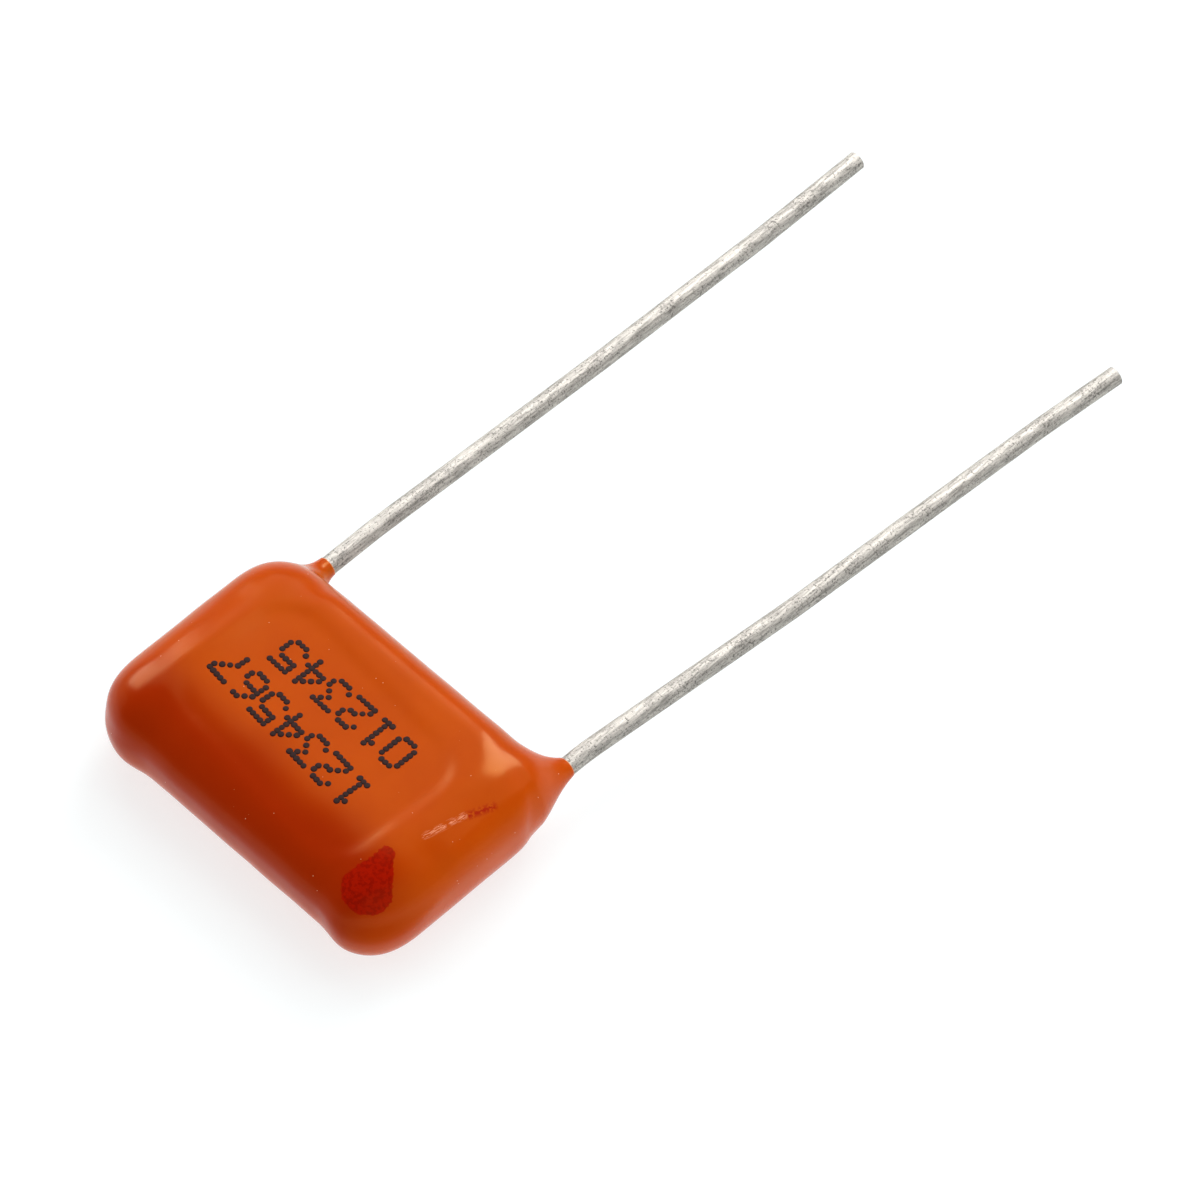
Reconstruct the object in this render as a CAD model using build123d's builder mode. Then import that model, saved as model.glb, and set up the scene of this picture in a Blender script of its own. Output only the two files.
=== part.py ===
from build123d import *

import math
import os

# A dipped film capacitor lying on one broad side, with its two wire leads left long.
# Lengths are in millimetres. X runs from lead to lead, Y towards the cut lead tips, Z up.
# The origin is on the flat underside, halfway between the leads and below the winding.

# Leads: tinned round wire, stiff, slightly bent by handling
lead_spacing = 10.0  # centre to centre where they leave the coat
wire_d = 0.6
left_free = 21.95  # along the wire, from the tip of the coat's meniscus to the cut
right_free = 21.6
lead_foot = 6.0  # welded length, back from the winding's edge
bend_radius = 12.0
nip_angle = 38.0  # slant of the bevel that the cutter leaves, from the wire's axis
nip_depth = 0.17  # how much of the wire's width the bevel takes
# Each bend: its place as a share of the free length, and the turn in degrees towards +X
left_bends = [(0.09, 2.0), (0.5, -0.8), (0.81, -1.5)]
right_bends = [(0.03, 5.1), (0.4, -1.5), (0.86, 1.4)]

# Winding: a flattened roll of metallised film with sprayed metal on both ends
roll_width = 6.7
roll_thick = 2.6
contact_thick = 0.55
weld_depth = 0.12  # how far the wire is sunk into the sprayed metal

# Coat: dipped resin round it all
face_wall = 0.5  # over the winding's broad sides
side_wall = 0.69  # over its rounded sides
left_end_wall = 1.06  # beyond the left lead, where the resin hung thicker
right_end_wall = 0.6  # beyond the right lead
rim_radius = 1.78  # round the ends, the far side and the top edge above the leads
under_lead_radius = 1.1  # round the lower edge on the side that the leads leave
side_strip = 0.02  # least straight part left between two rims
end_angles = (75.0, 55.0, 30.0, 5.0)  # where sections stand round an end; the first leaves a small flat
dish_depth = 0.14  # how far the printed face lies below the humps over the leads
waist_depth = 0.13  # how far each long side draws in between the humps
waist_length = 3.0  # the part of the face and sides that runs parallel
shoulder_length = 6.2  # between the places where the humps begin
shoulder_share = 0.8  # of the dish and the waist still left there
rest_flat = 0.03  # taken off the underside, which leaves a true plane to lie on

# Menisci: where the resin climbs the leads
meniscus_reach = 0.68  # past the coat's long side
meniscus_lip = 0.03  # resin round the wire at the tip
meniscus_root_radius = 0.66
meniscus_root_depth = 1.5  # how deep the cone starts inside the coat
meniscus_fillet = 0.6

roll_length = lead_spacing - wire_d - 2 * contact_thick + 2 * weld_depth
coat_thick = roll_thick + 2 * face_wall
half_width = roll_width / 2 + side_wall
coat_left = -(lead_spacing + wire_d) / 2 - left_end_wall
coat_right = (lead_spacing + wire_d) / 2 + right_end_wall
middle_z = coat_thick / 2
meniscus_tip = half_width + meniscus_reach


def lead_route(side, free_length, bends):
    # Corners of one lead's centre line: the welded foot, the coat's tip, then each bend
    x, y = side * lead_spacing / 2, meniscus_tip
    corners = [(x, roll_width / 2 - lead_foot, middle_z)]
    heading, reached = 0.0, 0.0
    for share, turn in bends + [(1.0, 0.0)]:
        run = (share - reached) * free_length
        x += run * math.sin(math.radians(heading))
        y += run * math.cos(math.radians(heading))
        corners.append((x, y, middle_z))
        heading += turn
        reached = share
    return corners


def bent_wire(corners):
    # One round wire along its corners, nipped off with a bevel at the far end
    with BuildPart() as lead:
        with BuildLine():
            route = FilletPolyline(*corners, radius=bend_radius)
        with BuildSketch(Plane(origin=route @ 0, z_dir=route % 0)):
            Circle(wire_d / 2)
        sweep()
        along, slant = route % 1, math.radians(nip_angle)
        outward = along * math.sin(slant) + Vector(0, 0, -1) * math.cos(slant)
        corner = route @ 1 + Vector(0, 0, nip_depth - wire_d / 2)
        split(bisect_by=Plane(origin=corner, z_dir=outward), keep=Keep.BOTTOM)
    return lead.part


def end_contact(side, lead):
    # Sprayed metal on one end of the winding, with its wire sunk into the outer face
    with BuildPart() as contact:
        with BuildSketch(Plane.YZ.offset(side * roll_length / 2)):
            with Locations((0, middle_z)):
                SlotOverall(roll_width, roll_thick)
        extrude(amount=side * contact_thick)
        add(lead, mode=Mode.SUBTRACT)
    return contact.part


lead_left = bent_wire(lead_route(-1, left_free, left_bends))
lead_right = bent_wire(lead_route(1, right_free, right_bends))
end_contact_left = end_contact(-1, lead_left)
end_contact_right = end_contact(1, lead_right)

with BuildPart() as film_winding:
    with BuildSketch(Plane.YZ.offset(-roll_length / 2)):
        with Locations((0, middle_z)):
            SlotOverall(roll_width, roll_thick)
    extrude(amount=roll_length)


def end_sections(tip, inward):
    # Sections round one end, from the flat at its tip to where the long sides begin
    places = []
    for angle in map(math.radians, end_angles):
        inset = rim_radius * (1 - math.cos(angle))
        x = tip + inward * rim_radius * (1 - math.sin(angle))
        places.append((x, inset, inset, inset))
    return places


# Sections of the coat: place, draw-in of each side, sink of the top, rise of the underside
waist_x, shoulder_x = waist_length / 2, shoulder_length / 2
shoulder_draw, shoulder_sink = waist_depth * shoulder_share, dish_depth * shoulder_share
middle_sections = [
    (-shoulder_x, shoulder_draw, shoulder_sink, 0.0),
    (-waist_x, waist_depth, dish_depth, 0.0),
    (waist_x, waist_depth, dish_depth, 0.0),
    (shoulder_x, shoulder_draw, shoulder_sink, 0.0),
]
sections = end_sections(coat_left, 1) + middle_sections + end_sections(coat_right, -1)[::-1]

with BuildPart() as meniscus_cone:
    with BuildSketch(Plane.YZ):
        with BuildLine():
            Polyline(
                (half_width - meniscus_root_depth, 0),
                (half_width - meniscus_root_depth, meniscus_root_radius),
                (meniscus_tip, wire_d / 2 + meniscus_lip),
                (meniscus_tip, 0),
                close=True,
            )
        make_face()
    revolve(axis=Axis.Y)

with BuildPart() as epoxy_coat:
    for x, draw, sink, rise in sections:
        side, top, under = half_width - draw, coat_thick - sink, rise - rest_flat
        share = 1 - rise / rim_radius
        rim = min(rim_radius * share, (top - under - side_strip) / 2)
        with BuildSketch(Plane.YZ.offset(x)):
            with BuildLine():
                FilletPolyline(
                    (-side, under),
                    (side, under),
                    (side, top),
                    (-side, top),
                    radius=[rim, under_lead_radius * share, rim, rim],
                    close=True,
                )
            make_face()
    loft()
    with Locations((-lead_spacing / 2, 0, middle_z), (lead_spacing / 2, 0, middle_z)):
        add(meniscus_cone.part)
    cone_joints = epoxy_coat.edges(Select.NEW).filter_by(
        lambda edge: edge.bounding_box().max.Y < meniscus_tip - meniscus_reach / 2
        and edge.bounding_box().min.Y > 0
    )
    fillet(cone_joints, radius=meniscus_fillet)
    split(bisect_by=Plane.XY, keep=Keep.TOP)
    for piece in (film_winding.part, end_contact_left, end_contact_right, lead_left, lead_right):
        add(piece, mode=Mode.SUBTRACT)

pieces = {
    "epoxy_coat": epoxy_coat.part,
    "film_winding": film_winding.part,
    "end_contact_left": end_contact_left,
    "end_contact_right": end_contact_right,
    "lead_left": lead_left,
    "lead_right": lead_right,
}
os.makedirs("parts", exist_ok=True)
for name, piece in pieces.items():
    piece.label = name
    export_step(piece, f"parts/{name}.step")
    print(name, "volume", round(piece.volume, 2), "solids", len(piece.solids()))
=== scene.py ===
import math

import bmesh
import bpy
import numpy as np
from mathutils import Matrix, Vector


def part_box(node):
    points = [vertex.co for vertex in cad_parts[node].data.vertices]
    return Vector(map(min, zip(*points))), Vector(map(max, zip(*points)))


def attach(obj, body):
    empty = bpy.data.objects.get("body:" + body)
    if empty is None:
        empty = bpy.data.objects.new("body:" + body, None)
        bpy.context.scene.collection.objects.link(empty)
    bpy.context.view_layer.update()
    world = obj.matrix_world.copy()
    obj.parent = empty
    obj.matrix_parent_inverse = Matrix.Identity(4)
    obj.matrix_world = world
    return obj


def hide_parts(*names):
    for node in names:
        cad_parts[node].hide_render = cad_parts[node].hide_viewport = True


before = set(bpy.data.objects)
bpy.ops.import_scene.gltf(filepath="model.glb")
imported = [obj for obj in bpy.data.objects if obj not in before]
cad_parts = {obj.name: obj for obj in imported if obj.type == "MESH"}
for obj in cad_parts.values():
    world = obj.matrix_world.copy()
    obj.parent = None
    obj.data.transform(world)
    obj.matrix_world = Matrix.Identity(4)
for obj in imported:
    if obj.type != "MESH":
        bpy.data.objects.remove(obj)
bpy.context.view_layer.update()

# Lengths in the dictionaries are in millimetres; mm turns them into the frame's metres.
mm = 0.001


def boxOf(node):
    low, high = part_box(node)
    return [v / mm for v in low], [v / mm for v in high]


coatLow, coatHigh = boxOf("epoxy_coat")
leadBoxes = [boxOf("lead_left"), boxOf("lead_right")]
firstLeadLow, firstLeadHigh = leadBoxes[0]
wireRadius = (firstLeadHigh[2] - firstLeadLow[2]) / 2
wireHeight = (firstLeadHigh[2] + firstLeadLow[2]) / 2
leadPlaces = [low[0] + wireRadius for low, high in leadBoxes]


def addPiece(name, mesh):
    piece = bpy.data.objects.new(name, mesh)
    bpy.context.scene.collection.objects.link(piece)
    return piece


def smoothStep(low, high, value):
    # From 0 at low to 1 at high, without a crease at either end
    share = np.clip((value - low) / (high - low), 0.0, 1.0)
    return share**3 * (share * (6 * share - 15) + 10)


def shifted(base, *changes):
    # The base value, moved towards each other value by that one's share
    moved = base
    for value, share in changes:
        moved = moved + (value - base) * share
    return moved


def softJoin(first, second, fillet):
    # Two forms joined, with a fillet where they meet
    overlap = np.maximum(fillet - np.abs(first - second), 0) / fillet
    return np.minimum(first, second) - overlap**2 * fillet / 4


def softCut(first, second, fillet):
    # What two forms share, with a rounded edge
    return -softJoin(-first, -second, fillet)


# The coat is one smooth form, given as a distance from its surface.
coatForm = {
    "gridSize": 0.085,  # side of the even quads that it is made of
    "endGap": 0.008,  # left free at both ends
    "headroom": 0.07,  # left free above the face for the knobs
    "squareness": 2.7,  # 2 makes the rounding circular, more makes it boxier
    "rimAcross": 2.35,  # how far the rounding reaches in over the face
    "rimUnder": 1.85,  # how far it reaches up from the underside
    "nearSquareness": 2.4,  # over the side away from the leads, where the face falls off softly
    "nearRim": 3.4,
    "nearZone": (0.0, -1.2),
    "nearEnd": (-3.0, -5.4),
    "farSquareness": 2.3,  # over the leads' side, where the face runs out to a tighter rim
    "farRim": 1.35,
    "farZone": (0.4, 1.8),
    "farEnds": (3.0, 4.6),
    "leftSquareness": 2.85,  # over the left end
    "leftRim": 2.9,
    "leftZone": (-2.0, -3.2),
    "leftEnd": (1.0, 3.4),
    "topZone": (-0.2, 0.6),  # these three begin and are whole this far above mid height
    "middle": (-3.46, 3.25),  # the sunken stretch between the humps over the leads
    "middleSlope": 1.6,
    "sink": 0.06,  # the middle lies this far below the ends
    "waistNear": 0.21,  # how far the side away from the leads draws in
    "waistFar": 0.02,
    "waistZone": (-1.5, 1.5),
    "faceCentre": (-0.35, -0.25),  # the flatter face that carries the print
    "faceHalf": (4.05, 2.45),
    "faceCorner": 1.2,
    "faceTurn": -5.0,
    "faceSlope": 0.8,
    "faceDish": 0.065,
    "ripple": 0.004,
    # low swellings of the resin over the leads' ends
    "knobs": [
        {"place": (3.85, 1.75), "reach": (1.25, 1.5), "rise": 0.07},
        {"place": (-4.5, -0.2), "reach": (1.2, 1.5), "rise": 0.08},
    ],
    # a soft bevel at the corner by the right lead
    "cornerTrim": {"across": 0.8, "along": 0.6, "place": 6.45, "fillet": 0.6},
    # the resin that climbs each lead: its radius at the tip, then how it widens on the way back
    "menisci": [
        {"tip": 0.32, "slope": 0.08, "flare": 0.10, "lean": 0.0, "reach": 1.3, "fillet": 0.5},
        {"tip": 0.315, "slope": 0.36, "flare": 0.04, "lean": 0.24, "reach": 1.6, "fillet": 0.75},
    ],
    "coneSteepness": 0.85,  # keeps a meniscus's distance close to a true one
    "coneEnds": (2.6, 1.0),  # inside the coat it dies away between these places along Y
    "coneFadeDepth": 1.5,
    "filletZone": (1.7, 3.8),
    "leastFillet": 0.01,
    # the bevelled block and cones that the coat is first made of
    "roughBevel": 1.69,
    "roughBevelSteps": 5,
    "roughConeSides": 24,
    "roughConeFoot": 0.7,
    "roughConeTip": 0.33,
    "roughConeLength": 2.0,
}


def middleShare(x):
    # 1 in the sunken middle, 0 on the humps over the leads
    low, high = coatForm["middle"]
    slope = coatForm["middleSlope"]
    return smoothStep(low - slope, low, x) * (1 - smoothStep(high, high + slope, x))


def faceShare(x, y):
    # 1 on the flatter face, 0 outside its rounded outline
    turn = math.radians(coatForm["faceTurn"])
    across = x - coatForm["faceCentre"][0]
    along = y - coatForm["faceCentre"][1]
    turnedAcross = across * math.cos(turn) + along * math.sin(turn)
    turnedAlong = along * math.cos(turn) - across * math.sin(turn)
    corner = coatForm["faceCorner"]
    outX = np.abs(turnedAcross) - coatForm["faceHalf"][0] + corner
    outY = np.abs(turnedAlong) - coatForm["faceHalf"][1] + corner
    away = np.hypot(np.maximum(outX, 0), np.maximum(outY, 0)) - corner
    away = away + np.minimum(np.maximum(outX, outY), 0)
    return 1 - smoothStep(-coatForm["faceSlope"] / 2, coatForm["faceSlope"] / 2, away)


def topHeight(x, y):
    height = coatHigh[2] - coatForm["headroom"] - coatForm["sink"] * middleShare(x)
    height = height - coatForm["faceDish"] * faceShare(x, y)
    for knob in coatForm["knobs"]:
        centreX, centreY = knob["place"]
        reachX, reachY = knob["reach"]
        bulge = ((x - centreX) / reachX) ** 2 + ((y - centreY) / reachY) ** 2
        height = height + knob["rise"] * np.exp(-bulge)
    return height


def topZones(x, y, z):
    # How far each point of the top belongs to the near side, the leads' side and the left end
    middleZ = coatHigh[2] / 2
    start, full = coatForm["topZone"]
    top = smoothStep(middleZ + start, middleZ + full, z)
    near = smoothStep(*coatForm["nearZone"], y) * top * (1 - smoothStep(*coatForm["nearEnd"], x))
    far = smoothStep(*coatForm["farZone"], y) * top
    far = far * (1 - smoothStep(*coatForm["farEnds"], np.abs(x)))
    left = smoothStep(*coatForm["leftZone"], x) * top * (1 - smoothStep(*coatForm["leftEnd"], y))
    return near, far, left


def rippleOf(x, y, z):
    # Slow waves, as in resin that has run while it set
    wave = np.sin(1.9 * x + 1.1 * y + 0.6) * np.sin(1.3 * y - 0.7 * x + 2.1 * z)
    return coatForm["ripple"] * (wave + 0.5 * np.sin(3.7 * x - 2.9 * y + 1.7 * z))


def bodyDistance(x, y, z):
    # The rounded block without its menisci
    centre = (coatLow[0] + coatHigh[0]) / 2
    halfLength = (coatHigh[0] - coatLow[0]) / 2 - coatForm["endGap"]
    waistShare = smoothStep(*coatForm["waistZone"], y)
    waist = shifted(coatForm["waistNear"], (coatForm["waistFar"], waistShare))
    halfWidth = -coatLow[1] - waist * middleShare(x)
    middleZ = coatHigh[2] / 2
    halfHeight = np.where(z > middleZ, topHeight(x, y) - middleZ, middleZ)
    upRim = np.minimum(np.where(z > middleZ, halfHeight, coatForm["rimUnder"]), halfHeight)
    near, far, left = topZones(x, y, z)
    power = shifted(coatForm["squareness"], (coatForm["nearSquareness"], near),
                    (coatForm["farSquareness"], far), (coatForm["leftSquareness"], left))
    sideRim = shifted(coatForm["rimAcross"], (coatForm["nearRim"], near), (coatForm["farRim"], far))
    endRim = shifted(coatForm["rimAcross"], (coatForm["leftRim"], left))
    endOut = np.maximum(np.abs(x - centre) - halfLength + endRim, 0) / endRim
    sideOut = np.maximum(np.abs(y) - halfWidth + sideRim, 0) / sideRim
    upOut = np.maximum(np.abs(z - middleZ) - halfHeight + upRim, 0) / upRim
    body = ((endOut**power + sideOut**power + upOut**power) ** (1 / power) - 1) * middleZ
    bevel = coatForm["cornerTrim"]
    trim = bevel["across"] * x + bevel["along"] * y - bevel["place"]
    return softCut(body, trim, bevel["fillet"]) + rippleOf(x, y, z)


def meniscusDistance(meniscus, place, x, y, z):
    back = np.clip(coatHigh[1] - y, 0.0, meniscus["reach"])
    reach = np.hypot(x - place + meniscus["lean"] * back, z - wireHeight)
    cone = reach - meniscus["tip"] - meniscus["slope"] * back - meniscus["flare"] * back**2
    cone = np.maximum(cone * coatForm["coneSteepness"], y - coatHigh[1])
    return cone + coatForm["coneFadeDepth"] * smoothStep(*coatForm["coneEnds"], y)


def coatDistance(p):
    # Signed distance, in millimetres, from points to the coat's surface
    x, y, z = p[:, 0], p[:, 1], p[:, 2]
    coat = bodyDistance(x, y, z)
    for place, meniscus in zip(leadPlaces, coatForm["menisci"]):
        cone = meniscusDistance(meniscus, place, x, y, z)
        fillet = meniscus["fillet"] * smoothStep(*coatForm["filletZone"], y)
        coat = softJoin(coat, cone, fillet + coatForm["leastFillet"])
    return coat


def coatSlope(p, step=0.01):
    # Gradient of the distance, by differences
    slope = np.empty_like(p)
    for axis in range(3):
        shift = np.zeros(3)
        shift[axis] = step
        slope[:, axis] = (coatDistance(p + shift) - coatDistance(p - shift)) / (2 * step)
    return slope


def settleOnCoat(p, rounds=7):
    leastSlope = 0.05
    for _ in range(rounds):
        slope = coatSlope(p)
        steepness = np.maximum((slope**2).sum(1), leastSlope)
        p = p - slope * (coatDistance(p) / steepness)[:, None]
    return p


def roughCoat():
    # A bevelled block with a cone for each meniscus, near enough to be settled on the form
    rough = bmesh.new()
    bmesh.ops.create_cube(rough, size=1.0)
    size = [coatHigh[0] - coatLow[0], -2 * coatLow[1], coatHigh[2]]
    middle = [(coatHigh[0] + coatLow[0]) / 2, 0.0, coatHigh[2] / 2]
    for vertex in rough.verts:
        vertex.co = Vector([vertex.co[i] * size[i] + middle[i] for i in range(3)])
    bmesh.ops.bevel(rough, geom=rough.edges[:], offset=coatForm["roughBevel"],
                    segments=coatForm["roughBevelSteps"], profile=0.5, affect="EDGES")
    for place in leadPlaces:
        made = bmesh.ops.create_cone(rough, cap_ends=True, segments=coatForm["roughConeSides"],
                                     radius1=coatForm["roughConeFoot"], radius2=coatForm["roughConeTip"],
                                     depth=coatForm["roughConeLength"])
        for vertex in made["verts"]:
            x, y, z = vertex.co
            along = coatHigh[1] - coatForm["roughConeLength"] / 2 + z
            vertex.co = Vector((place + x, along, wireHeight - y))
    mesh = bpy.data.meshes.new("roughCoat")
    rough.to_mesh(mesh)
    rough.free()
    return addPiece("roughCoat", mesh)


def makeCoat():
    # Even quads first, then each point is moved onto the form
    holder = roughCoat()
    remesh = holder.modifiers.new("even", "REMESH")
    remesh.mode = "VOXEL"
    remesh.voxel_size = coatForm["gridSize"]
    graph = bpy.context.evaluated_depsgraph_get()
    even = bpy.data.meshes.new_from_object(holder.evaluated_get(graph))
    points = np.empty(len(even.vertices) * 3)
    even.vertices.foreach_get("co", points)
    points = settleOnCoat(points.reshape(-1, 3))
    points = np.clip(points, np.array(coatLow), np.array(coatHigh))
    even.vertices.foreach_set("co", (points * mm).ravel())
    even.polygons.foreach_set("use_smooth", [True] * len(even.polygons))
    even.update()
    even.name = "coatSkin"
    bpy.data.objects.remove(holder)
    piece = addPiece("coatSkin", even)
    markCoat(piece, points)
    return piece


# Marks on the coat, laid on along one direction like a stamp: a painted dark reflection at one corner, a
# scuff with painted glints, and a smear
coatMarks = {
    "right": (0.7071, 0.7071, 0.0),
    "up": (-0.5817, 0.5817, 0.5717),
    "reflectionCentre": (4.62, -2.86, 3.2),  # centre of a painted dark reflection at one corner
    "reflectionRadius": 0.79,
    "reflectionTail": (0.53, 0.96),
    "reflectionTailRadius": 0.24,
    "reflectionStop": 0.76,  # the nearly straight side of the painted dark reflection
    "reflectionLowest": 1.2,
    # a scuff whose pale glints are painted, and a smear beside it
    "scuffGlintEnds": ((4.63, -0.61, 3.5), (4.88, 0.69, 3.41)),
    "smearEnds": ((4.93, 0.77, 3.38), (5.2, 1.54, 3.31)),
    "strokesLowest": 2.6,
    "away": 5.0,  # stands for a distance where there is no mark
    # painted shade on the side away from the lamps, and painted sheen over the upper rims
    "deepAcross": (-0.6, -2.8),
    "deepUp": (0.6, 2.2),
    "deepRight": (4.2, 5.6, 0.5),
    "deepLeft": (-4.6, -6.0, 0.6),
    "sheenUpright": (0.97, 0.6),
    "sheenUp": (1.2, 2.2),
    "sheenAcross": (-3.4, -1.6),
    "sheenRight": (3.6, 4.8, 0.8),
}


def stampPlace(p):
    p = np.atleast_2d(np.asarray(p, dtype=float)) - np.array(coatMarks["reflectionCentre"])
    return p @ np.array(coatMarks["right"]), p @ np.array(coatMarks["up"])


def strokeDistance(right, up, ends):
    # Distance across the stamp from points to a straight stroke
    (startX, startY), (endX, endY) = [[float(v[0]) for v in stampPlace(end)] for end in ends]
    runX = endX - startX
    runY = endY - startY
    share = ((right - startX) * runX + (up - startY) * runY) / (runX**2 + runY**2)
    share = np.clip(share, 0, 1)
    return np.hypot(right - startX - share * runX, up - startY - share * runY)


def darkReflectionDistance(right, up):
    # A painted dark reflection: round, with a tapering tail and a slightly uneven edge
    tailX, tailY = coatMarks["reflectionTail"]
    share = np.clip((right * tailX + up * tailY) / (tailX**2 + tailY**2), 0, 1)
    radius = shifted(coatMarks["reflectionRadius"], (coatMarks["reflectionTailRadius"], share))
    darkReflection = np.hypot(right - share * tailX, up - share * tailY) - radius
    darkReflection = np.maximum(darkReflection, right - coatMarks["reflectionStop"] + 0.02 * np.sin(5 * up))
    return darkReflection + 0.02 * np.sin(7 * right + 5 * up) * np.sin(6 * up - 3 * right)


def fadeOut(value, start, full, share):
    return 1 - share * smoothStep(start, full, value)


# Painted shade: darker towards -Y on the upper part of that side, away from the lamps, fading at both
# ends
def deepShare(x, y, z):
    deep = smoothStep(*coatMarks["deepAcross"], y + 0.12 * np.sin(1.7 * x))
    deep = deep * smoothStep(*coatMarks["deepUp"], z)
    return deep * fadeOut(x, *coatMarks["deepRight"]) * fadeOut(x, *coatMarks["deepLeft"])


# Painted sheen: paler where the upper rims tilt away from the face, not on the side away from the lamps
def paintedSheenShare(points):
    x, y, z = points.T
    slope = coatSlope(points)
    upright = slope[:, 2] / np.linalg.norm(slope, axis=1)
    paintedSheen = smoothStep(*coatMarks["sheenUpright"], upright) * smoothStep(*coatMarks["sheenUp"], z)
    return paintedSheen * smoothStep(*coatMarks["sheenAcross"], y) * fadeOut(x, *coatMarks["sheenRight"])


def markCoat(piece, points):
    # Each mark is a value on the points, which the material turns into colour
    x, y, z = points.T
    right, up = stampPlace(points)
    scuffGlint = strokeDistance(right, up, coatMarks["scuffGlintEnds"])
    smear = strokeDistance(right, up, coatMarks["smearEnds"])
    strokesHere = z > coatMarks["strokesLowest"]
    # Among these are a painted dark reflection, a scuff with painted glints, painted shade and painted
    # sheen
    layers = {
        "darkReflection": np.where(z > coatMarks["reflectionLowest"], darkReflectionDistance(right, up), coatMarks["away"]),
        "scuffGlint": np.where(strokesHere, scuffGlint, coatMarks["away"]),
        "smear": np.where(strokesHere, smear, coatMarks["away"]),
        "tip": coatHigh[1] - y,
        "deep": deepShare(x, y, z),
        "paintedSheen": paintedSheenShare(points),
    }
    for name, values in layers.items():
        layer = piece.data.attributes.new(name, "FLOAT", "POINT")
        layer.data.foreach_set("value", values.astype(np.float32))


coatPiece = makeCoat()
print("coat", len(coatPiece.data.vertices), "points")


class Shader:
    # A short way to write a node material: add nodes, set their sockets, join them
    def __init__(self, name):
        self.material = bpy.data.materials.new(name)
        self.material.use_nodes = True
        self.tree = self.material.node_tree
        self.surface = next(n for n in self.tree.nodes if n.type == "BSDF_PRINCIPLED")
        self.place = self.add("TexCoord").outputs["Object"]

    def add(self, kind, **sockets):
        node = self.tree.nodes.new("ShaderNode" + kind)
        for key, value in sockets.items():
            self.put(node, key, value)
        return node

    def put(self, node, key, value):
        if isinstance(value, bpy.types.NodeSocket):
            self.tree.links.new(value, node.inputs[key.replace("_", " ")])
        elif key in node.bl_rna.properties:
            setattr(node, key, value)
        else:
            node.inputs[key.replace("_", " ")].default_value = value

    def noise(self, scale, detail, place=None, **more):
        made = self.add("TexNoise", Vector=place or self.place, Scale=scale, Detail=detail, **more)
        return made.outputs["Fac"]

    def layer(self, name):
        return self.add("Attribute", attribute_name=name).outputs["Fac"]

    def share(self, value, low, high, atLow=0.0, atHigh=1.0):
        made = self.add("MapRange", Value=value, From_Min=low, From_Max=high,
                        To_Min=atLow, To_Max=atHigh)
        return made.outputs["Result"]

    def tones(self, share, first, last):
        # Each tone is a place along the share and a colour
        ramp = self.add("ValToRGB", Fac=share)
        for element, (position, color) in zip(ramp.color_ramp.elements, (first, last)):
            element.position = position
            element.color = color
        return ramp.outputs["Color"]

    def over(self, color, share, paint):
        mix = self.add("Mix", data_type="RGBA")
        self.tree.links.new(share, mix.inputs[0])
        self.tree.links.new(color, mix.inputs[6])
        mix.inputs[7].default_value = paint
        return mix.outputs[2]

    def math(self, operation, first, second):
        made = self.add("Math", operation=operation)
        for socket, value in zip(made.inputs, (first, second)):
            if isinstance(value, bpy.types.NodeSocket):
                self.tree.links.new(value, socket)
            else:
                socket.default_value = value
        return made.outputs[0]

    def relief(self, height, strength, depth, **under):
        made = self.add("Bump", Strength=strength, Distance=depth * mm, Height=height, **under)
        return made.outputs["Normal"]

    def coat(self, **sockets):
        for key, value in sockets.items():
            self.put(self.surface, key, value)
        return self.material


# Scales of a pattern are in turns per metre.
epoxyLook = {
    "color": (0.50, 0.056, 0.0008, 1),
    "paler": (0.54, 0.066, 0.0010, 1),
    "cloudScale": 420.0,
    "cloudRange": (0.35, 0.68),
    # painted shade on the side away from the lamps
    "deep": (0.35, 0.020, 0.0003, 1),
    # painted sheen over the upper rims
    "paintedSheen": (0.47, 0.078, 0.003, 1),
    # a painted dark reflection at one corner, mottled darker inside
    "darkReflection": (0.38, 0.0060, 0.0003, 1),
    "darkReflectionDeep": (0.22, 0.0020, 0.0002, 1),
    "reflectionRagged": (-0.03, 0.04),
    "reflectionEdge": (-0.02, 0.02),
    "reflectionMottle": 0.6,
    "blotchScale": 9000.0,
    "smearReach": (0.03, 0.17),
    # painted pale glints on a scuff
    "scuffGlint": (0.85, 0.34, 0.19, 1),
    "scuffGlintReach": (0.0, 0.13),
    "scratchTurn": -0.19,
    "scratchSize": (1 / 42000, 1 / 5200, 1 / 42000),
    "edge": (0.72, 0.46, 0.26, 1),  # the thin resin round each wire
    "edgeReach": (0.01, 0.05),
    "dust": (0.85, 0.52, 0.34, 1),
    "dustScale": 3600.0,
    "dustRadius": (0.02, 0.065),
    "dustChoice": 0.70,  # more leaves fewer specks
    "grainScale": 7000.0,
    "grainDepth": 0.01,
    "waveScale": 900.0,
    "waveDepth": 0.04,
    "roughness": 0.20,
}


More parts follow.
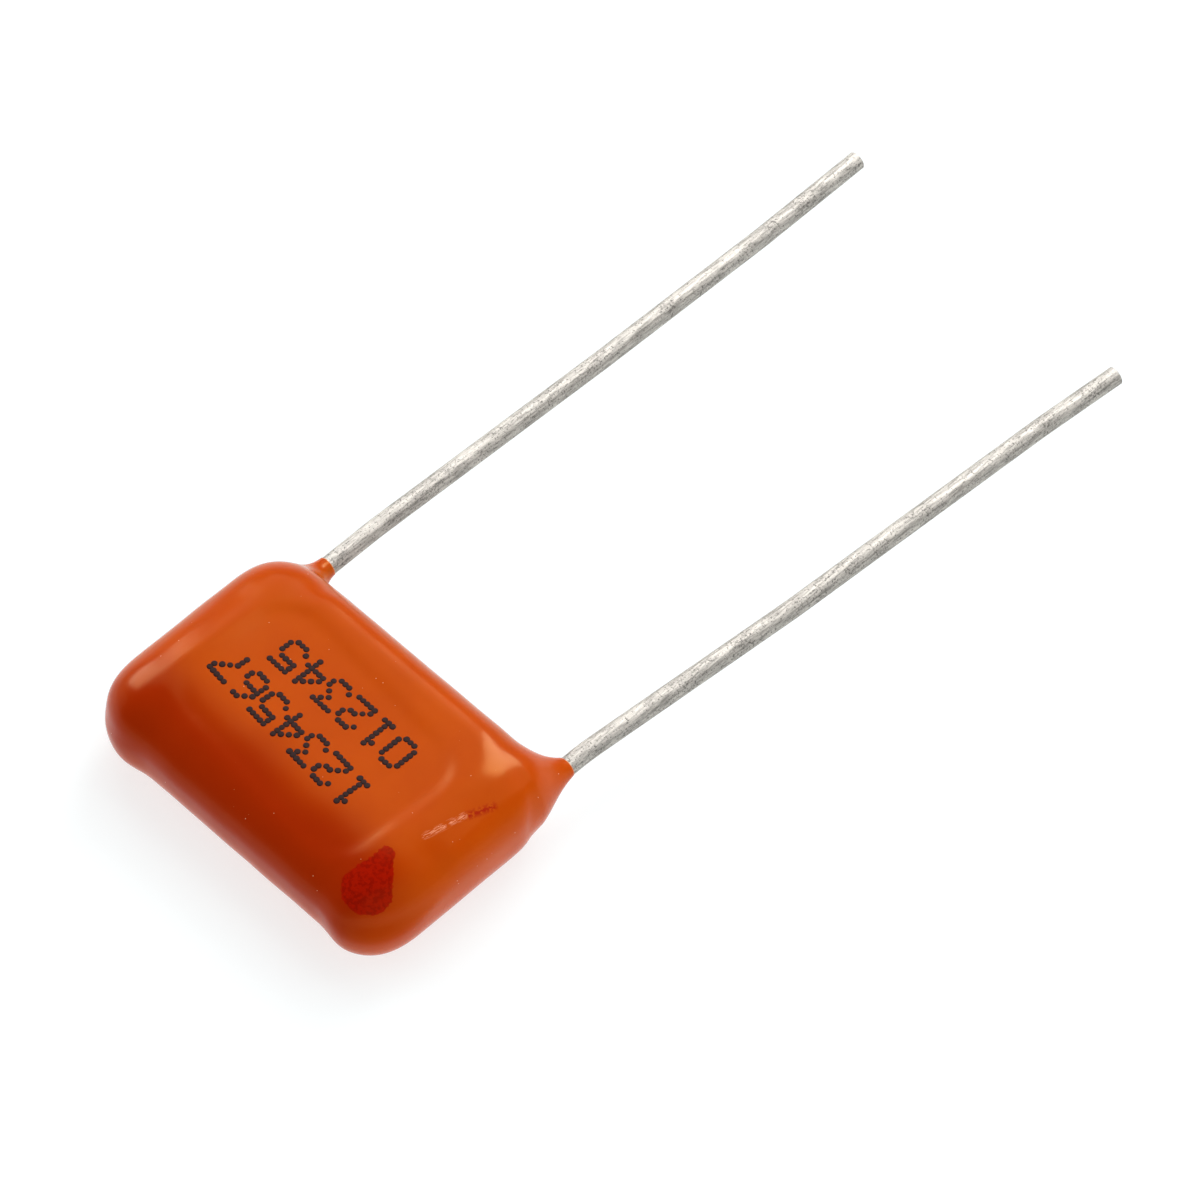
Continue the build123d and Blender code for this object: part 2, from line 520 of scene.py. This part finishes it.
def dippedEpoxy():
    s = Shader("dippedEpoxy")
    look = epoxyLook
    start, full = look["cloudRange"]
    cloud = s.noise(look["cloudScale"], 4.0)
    color = s.tones(cloud, (start, look["color"]), (full, look["paler"]))
    # painted shade on the side away from the lamps
    color = s.over(color, s.layer("deep"), look["deep"])
    # painted sheen over the upper rims
    color = s.over(color, s.layer("paintedSheen"), look["paintedSheen"])

    blotch = s.noise(look["blotchScale"], 4.0)
    ragged = s.share(blotch, 0.3, 0.7, *look["reflectionRagged"])
    # a dark reflection painted at one corner, mottled darker inside
    inDarkReflection = s.share(s.math("ADD", s.layer("darkReflection"), ragged), *look["reflectionEdge"], 1.0, 0.0)
    mottle = s.share(blotch, 0.45, 0.60, 0.0, look["reflectionMottle"])
    color = s.over(color, inDarkReflection, look["darkReflection"])
    color = s.over(color, s.math("MULTIPLY", inDarkReflection, mottle), look["darkReflectionDeep"])

    def stroke(name, reach, broken):
        return s.math("MULTIPLY", s.share(s.layer(name), *reach, 1.0, 0.0), broken)

    along = s.add("Mapping", vector_type="TEXTURE", Vector=s.place,
                  Rotation=(0, 0, look["scratchTurn"]), Scale=look["scratchSize"])
    scratch = s.noise(1.0, 2.0, along.outputs["Vector"])
    smear = stroke("smear", look["smearReach"], s.share(blotch, 0.42, 0.52))
    scuffGlint = stroke("scuffGlint", look["scuffGlintReach"], s.share(scratch, 0.48, 0.60))
    # the smear takes the same dark red as the painted reflection
    color = s.over(color, smear, look["darkReflection"])
    # a scuff, its pale streaks painted glints
    color = s.over(color, scuffGlint, look["scuffGlint"])
    color = s.over(color, s.share(s.layer("tip"), *look["edgeReach"], 1.0, 0.0), look["edge"])

    dust = s.add("TexVoronoi", Vector=s.place, Scale=look["dustScale"])
    speck = s.share(dust.outputs["Distance"], *look["dustRadius"], 1.0, 0.0)
    chance = s.add("SeparateColor", Color=dust.outputs["Color"]).outputs["Red"]
    rare = s.math("GREATER_THAN", chance, look["dustChoice"])
    color = s.over(color, s.math("MULTIPLY", speck, rare), look["dust"])

    fine = s.relief(s.noise(look["grainScale"], 2.0), 0.10, look["grainDepth"])
    broad = s.relief(s.noise(look["waveScale"], 2.0), 0.12, look["waveDepth"], Normal=fine)
    return s.coat(Base_Color=color, Roughness=look["roughness"], IOR=1.5,
                  Specular_IOR_Level=0.17, Specular_Tint=(1.0, 0.72, 0.2, 1),
                  Subsurface_Weight=0.08, Subsurface_Radius=(0.5, 0.10, 0.02),
                  Subsurface_Scale=0.5 * mm, Normal=broad)


wireLook = {
    "dark": (0.28, 0.266, 0.242, 1),
    "light": (0.60, 0.568, 0.522, 1),
    "streakRange": (0.38, 0.60),
    "streakScale": (13000.0, 1300.0, 13000.0),  # drawing marks run along the wire
    "speckScale": 14000.0,
    "cloudScale": 1100.0,
    "pit": (0.12, 0.11, 0.10, 1),
    "pitStart": 0.39,
    "pitEnd": (0.41, 0.49),  # more where flux and handling have dulled the tin
    "pitShare": 0.9,
    "metallic": 0.7,
    "roughness": (0.50, 0.68),
    "markDepth": 0.015,
}


def tinnedWire():
    s = Shader("tinnedWire")
    look = wireLook
    start, full = look["streakRange"]
    stretch = s.add("Mapping", Vector=s.place, Scale=look["streakScale"]).outputs["Vector"]
    streak = s.noise(1.0, 5.0, stretch, Roughness=0.75)
    speckle = s.noise(look["speckScale"], 3.0, Roughness=0.8)
    cloud = s.noise(look["cloudScale"], 3.0)
    tone = s.tones(streak, (start, look["dark"]), (full, look["light"]))
    grime = s.share(cloud, 0.45, 0.60, *look["pitEnd"])
    pit = s.share(speckle, look["pitStart"], grime, look["pitShare"], 0.0)
    rough = s.share(cloud, 0.0, 1.0, *look["roughness"])
    ridges = s.relief(streak, 0.8, look["markDepth"])
    grit = s.relief(speckle, 0.7, look["markDepth"], Normal=ridges)
    return s.coat(Base_Color=s.over(tone, pit, look["pit"]), Metallic=look["metallic"],
                  Roughness=rough, Normal=grit)


# The two metals inside the coat
hiddenLook = {
    "sprayedZinc": {"color": (0.45, 0.45, 0.46, 1), "roughness": 0.7},
    "metallisedFilm": {"color": (0.75, 0.74, 0.72, 1), "roughness": 0.3},
}


def hiddenMetal(name):
    s = Shader(name)
    look = hiddenLook[name]
    bump = s.relief(s.noise(4000.0, 5.0), 0.6, 0.03)
    return s.coat(Base_Color=look["color"], Metallic=0.9, Roughness=look["roughness"], Normal=bump)


def give(node, material):
    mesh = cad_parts[node].data
    mesh.materials.clear()
    mesh.materials.append(material)


wireFinish = tinnedWire()
for node in ("lead_left", "lead_right"):
    give(node, wireFinish)
sprayFinish = hiddenMetal("sprayedZinc")
for node in ("end_contact_left", "end_contact_right"):
    give(node, sprayFinish)
give("film_winding", hiddenMetal("metallisedFilm"))
coatPiece.data.materials.append(dippedEpoxy())
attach(coatPiece, "root")
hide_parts("epoxy_coat")
print("materials done")

printLook = {
    "dotPitch": 0.163,
    "dotRadius": 0.110,
    "dotHeight": 0.014,
    "dotSegments": 12,
    "dotRings": 5,
    "unevenness": 0.12,  # how much smaller the weakest dot is
    "seed": 7,
    "ink": (0.020, 0.006, 0.005, 1),
    "inkPale": (0.034, 0.010, 0.008, 1),
    # for each row: the first digit's centre, the last one's, and the digits
    "rows": [((1.98, -1.02), (-3.59, -0.48), "1234567"), ((2.0, 0.86), (-2.63, 0.99), "012345")],
}

# Five dots across and seven down for each digit
digitDots = {
    "0": "01110 10001 10001 10001 10001 10001 01110",
    "1": "00100 01100 00100 00100 00100 00100 01110",
    "2": "01110 10001 00001 00110 01000 10000 11111",
    "3": "11111 00010 00100 00010 00001 10001 01110",
    "4": "00010 00110 01010 10010 11111 00010 00010",
    "5": "11111 10000 11110 00001 00001 10001 01110",
    "6": "00110 01000 10000 11110 10001 10001 01110",
    "7": "11111 00001 00010 00100 01000 01000 01000",
}


def printDots():
    # Plan places of all dots: rows read towards -X, with their tops towards -Y
    dots = []
    for first, last, digits in printLook["rows"]:
        start, end = Vector(first), Vector(last)
        along = (end - start).normalized()
        down = Vector((along.y, -along.x))
        for index, digit in enumerate(digits):
            centre = start.lerp(end, index / (len(digits) - 1))
            for row, line in enumerate(digitDots[digit].split()):
                for column, mark in enumerate(line):
                    if mark == "1":
                        offset = along * (column - 2) + down * (row - 3)
                        dots.append(centre + offset * printLook["dotPitch"])
    return dots


def dotTree():
    # Drops each point on the coat and sets a flat blob of ink there, square to the surface
    tree = bpy.data.node_groups.new("dotPrint", "GeometryNodeTree")
    sockets = {"Geometry": "Geometry", "Coat": "Object", "Dot Radius": "Float",
               "Dot Height": "Float", "Unevenness": "Float", "Ink": "Material"}
    for name, kind in sockets.items():
        tree.interface.new_socket(name, in_out="INPUT", socket_type="NodeSocket" + kind)
    tree.interface.new_socket("Geometry", in_out="OUTPUT", socket_type="NodeSocketGeometry")

    def node(kind, **settings):
        made = tree.nodes.new(kind)
        for key, value in settings.items():
            setattr(made, key, value)
        return made

    def join(source, output, target, socket):
        tree.links.new(source.outputs[output], target.inputs[socket])

    given = node("NodeGroupInput")
    coat = node("GeometryNodeObjectInfo")
    join(given, "Coat", coat, "Object")
    ray = node("GeometryNodeRaycast")
    join(coat, "Geometry", ray, "Target Geometry")
    ray.inputs["Ray Direction"].default_value = (0, 0, -1)
    ray.inputs["Ray Length"].default_value = 10 * mm

    turn = node("FunctionNodeAlignRotationToVector")
    join(ray, "Hit Normal", turn, "Vector")
    kept = node("GeometryNodeStoreNamedAttribute", data_type="QUATERNION", domain="POINT")
    kept.inputs["Name"].default_value = "lie"
    join(given, "Geometry", kept, "Geometry")
    join(turn, "Rotation", kept, "Value")
    dropped = node("GeometryNodeSetPosition")
    join(kept, "Geometry", dropped, "Geometry")
    join(ray, "Hit Position", dropped, "Position")

    blob = node("GeometryNodeMeshUVSphere")
    blob.inputs["Segments"].default_value = printLook["dotSegments"]
    blob.inputs["Rings"].default_value = printLook["dotRings"]
    blob.inputs["Radius"].default_value = 1.0
    shape = node("ShaderNodeCombineXYZ")
    join(given, "Dot Radius", shape, "X")
    join(given, "Dot Radius", shape, "Y")
    join(given, "Dot Height", shape, "Z")
    weakest = node("ShaderNodeMath", operation="SUBTRACT")
    weakest.inputs[0].default_value = 1.0
    join(given, "Unevenness", weakest, 1)
    dotSize = node("FunctionNodeRandomValue", data_type="FLOAT")
    dotSize.inputs["Seed"].default_value = printLook["seed"]
    sizeLow, sizeHigh = [i for i in dotSize.inputs if i.type == "VALUE"][:2]
    tree.links.new(weakest.outputs[0], sizeLow)
    sizeHigh.default_value = 1.0
    scaled = node("ShaderNodeVectorMath", operation="SCALE")
    join(shape, "Vector", scaled, "Vector")
    sizeMade = next(o for o in dotSize.outputs if o.type == "VALUE")
    tree.links.new(sizeMade, scaled.inputs["Scale"])

    lie = node("GeometryNodeInputNamedAttribute", data_type="QUATERNION")
    lie.inputs["Name"].default_value = "lie"
    spots = node("GeometryNodeInstanceOnPoints")
    join(dropped, "Geometry", spots, "Points")
    join(blob, "Mesh", spots, "Instance")
    join(lie, "Attribute", spots, "Rotation")
    join(scaled, "Vector", spots, "Scale")
    real = node("GeometryNodeRealizeInstances")
    join(spots, "Instances", real, "Geometry")
    inked = node("GeometryNodeSetMaterial")
    join(real, "Geometry", inked, "Geometry")
    join(given, "Ink", inked, "Material")
    join(inked, "Geometry", node("NodeGroupOutput"), "Geometry")
    return tree


def inkFinish():
    s = Shader("printInk")
    tone = s.tones(s.noise(5000.0, 2.0), (0.0, printLook["ink"]), (1.0, printLook["inkPale"]))
    return s.coat(Base_Color=tone, Roughness=0.65, Specular_IOR_Level=0.12)


def placePrint():
    mesh = bpy.data.meshes.new("printSpots")
    above = (coatHigh[2] + 1) * mm
    mesh.from_pydata([(dot.x * mm, dot.y * mm, above) for dot in printDots()], [], [])
    holder = addPiece("printSpots", mesh)
    modifier = holder.modifiers.new("dots", "NODES")
    modifier.node_group = dotTree()
    given = {item.name: item.identifier for item in modifier.node_group.interface.items_tree
             if item.in_out == "INPUT"}
    modifier[given["Coat"]] = coatPiece
    modifier[given["Dot Radius"]] = printLook["dotRadius"] * mm
    modifier[given["Dot Height"]] = printLook["dotHeight"] * mm
    modifier[given["Unevenness"]] = printLook["unevenness"]
    modifier[given["Ink"]] = inkFinish()
    bpy.context.view_layer.update()
    graph = bpy.context.evaluated_depsgraph_get()
    made = bpy.data.meshes.new_from_object(holder.evaluated_get(graph))
    made.polygons.foreach_set("use_smooth", [True] * len(made.polygons))
    bpy.data.objects.remove(holder)
    return addPiece("printedDigits", made)


printPiece = placePrint()
print("print", len(printPiece.data.vertices), "points")
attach(printPiece, "root")

floorLook = {
    "reach": 3.0,  # in metres
    "color": (0.34, 0.38, 0.385, 1),
    "roughness": 0.9,
    "glow": 0.69,  # keeps the shadow pale
}


def makeFloor():
    far = floorLook["reach"]
    mesh = bpy.data.meshes.new("studioFloor")
    mesh.from_pydata([(-far, -far, 0), (far, -far, 0), (far, far, 0), (-far, far, 0)], [],
                     [(0, 1, 2, 3)])
    s = Shader("paperWhite")
    mesh.materials.append(s.coat(Base_Color=floorLook["color"], Roughness=floorLook["roughness"],
                                 Specular_IOR_Level=0.1, Emission_Color=(1.0, 1.0, 1.0, 1),
                                 Emission_Strength=floorLook["glow"]))
    return addPiece("studioFloor", mesh)


floor = makeFloor()

# The room is brighter low down than overhead
roomLook = {"From Min": -0.1, "From Max": 0.4, "To Min": 0.6, "To Max": 0.18}


def makeRoom():
    world = bpy.data.worlds.new("studio")
    world.use_nodes = True
    bpy.context.scene.world = world
    nodes, links = world.node_tree.nodes, world.node_tree.links
    sky = nodes.new("ShaderNodeTexCoord")
    height = nodes.new("ShaderNodeSeparateXYZ")
    fade = nodes.new("ShaderNodeMapRange")
    fade.interpolation_type = "SMOOTHSTEP"
    for key, value in roomLook.items():
        fade.inputs[key].default_value = value
    background = nodes["Background"]
    background.inputs["Color"].default_value = (1, 1, 1, 1)
    links.new(sky.outputs["Generated"], height.inputs["Vector"])
    links.new(height.outputs["Z"], fade.inputs["Value"])
    links.new(fade.outputs["Result"], background.inputs["Strength"])


makeRoom()

# Azimuth 180 is on the leads' side and -90 at the left end. A box with no glare only lights the
# colours, and one with no wash only shows in the gloss.
studioLights = {
    "topBox": {"azimuth": 190, "elevation": 54, "distance": 420, "size": (820, 400), "power": 1.62},
    "keyBox": {"azimuth": 194, "elevation": 38, "distance": 500, "size": (200, 240), "power": 0.9,
               "glare": False},
    "keyGlare": {"azimuth": 193, "elevation": 44, "distance": 500, "size": (190, 280), "power": 2.2,
                 "wash": False},
    "sideBox": {"azimuth": -70, "elevation": 14, "distance": 500, "size": (300, 220), "power": 1.15,
                "glare": False},
    "sideGlare": {"azimuth": -98, "elevation": 33, "distance": 500, "size": (190, 240),
                  "power": 1.35, "wash": False},
    "fillBox": {"azimuth": 74, "elevation": 33, "distance": 420, "size": (500, 400), "power": 0.76,
                "glare": False},
}
lightCentre = (0.0, 8.0, 2.0)


def directionOf(azimuth, elevation):
    turn, tilt = math.radians(azimuth), math.radians(elevation)
    return Vector((math.sin(turn) * math.cos(tilt), -math.cos(turn) * math.cos(tilt),
                   math.sin(tilt)))


def softBox(name, azimuth, elevation, distance, size, power, glare=True, wash=True):
    light = bpy.data.lights.new(name, "AREA")
    light.shape = "RECTANGLE"
    light.size, light.size_y = [side * mm for side in size]
    light.energy = power
    lamp = addPiece(name, light)
    towards = directionOf(azimuth, elevation)
    lamp.location = (towards * distance + Vector(lightCentre)) * mm
    lamp.rotation_euler = towards.to_track_quat("Z", "Y").to_euler()
    lamp.visible_glossy = glare
    lamp.visible_diffuse = wash


for name, settings in studioLights.items():
    softBox(name, **settings)

cameraView = {
    "azimuth": 45.126,
    "elevation": 55.124,
    "distance": 220.0,
    "target": (1.507, 9.527, 1.8),
    "fieldAngle": 9.151,
    "sensorWidth": 36.0,
}


def makeCamera():
    data = bpy.data.cameras.new("camera")
    data.sensor_width = cameraView["sensorWidth"]
    halfAngle = math.radians(cameraView["fieldAngle"] / 2)
    data.lens = cameraView["sensorWidth"] / 2 / math.tan(halfAngle)
    data.clip_start, data.clip_end = 0.005, 20
    camera = addPiece("camera", data)
    backward = directionOf(cameraView["azimuth"], cameraView["elevation"])
    camera.location = (Vector(cameraView["target"]) + backward * cameraView["distance"]) * mm
    camera.rotation_euler = backward.to_track_quat("Z", "Y").to_euler()
    return camera


bpy.context.scene.camera = makeCamera()
bpy.context.scene.view_settings.view_transform = "Standard"
print("studio done")
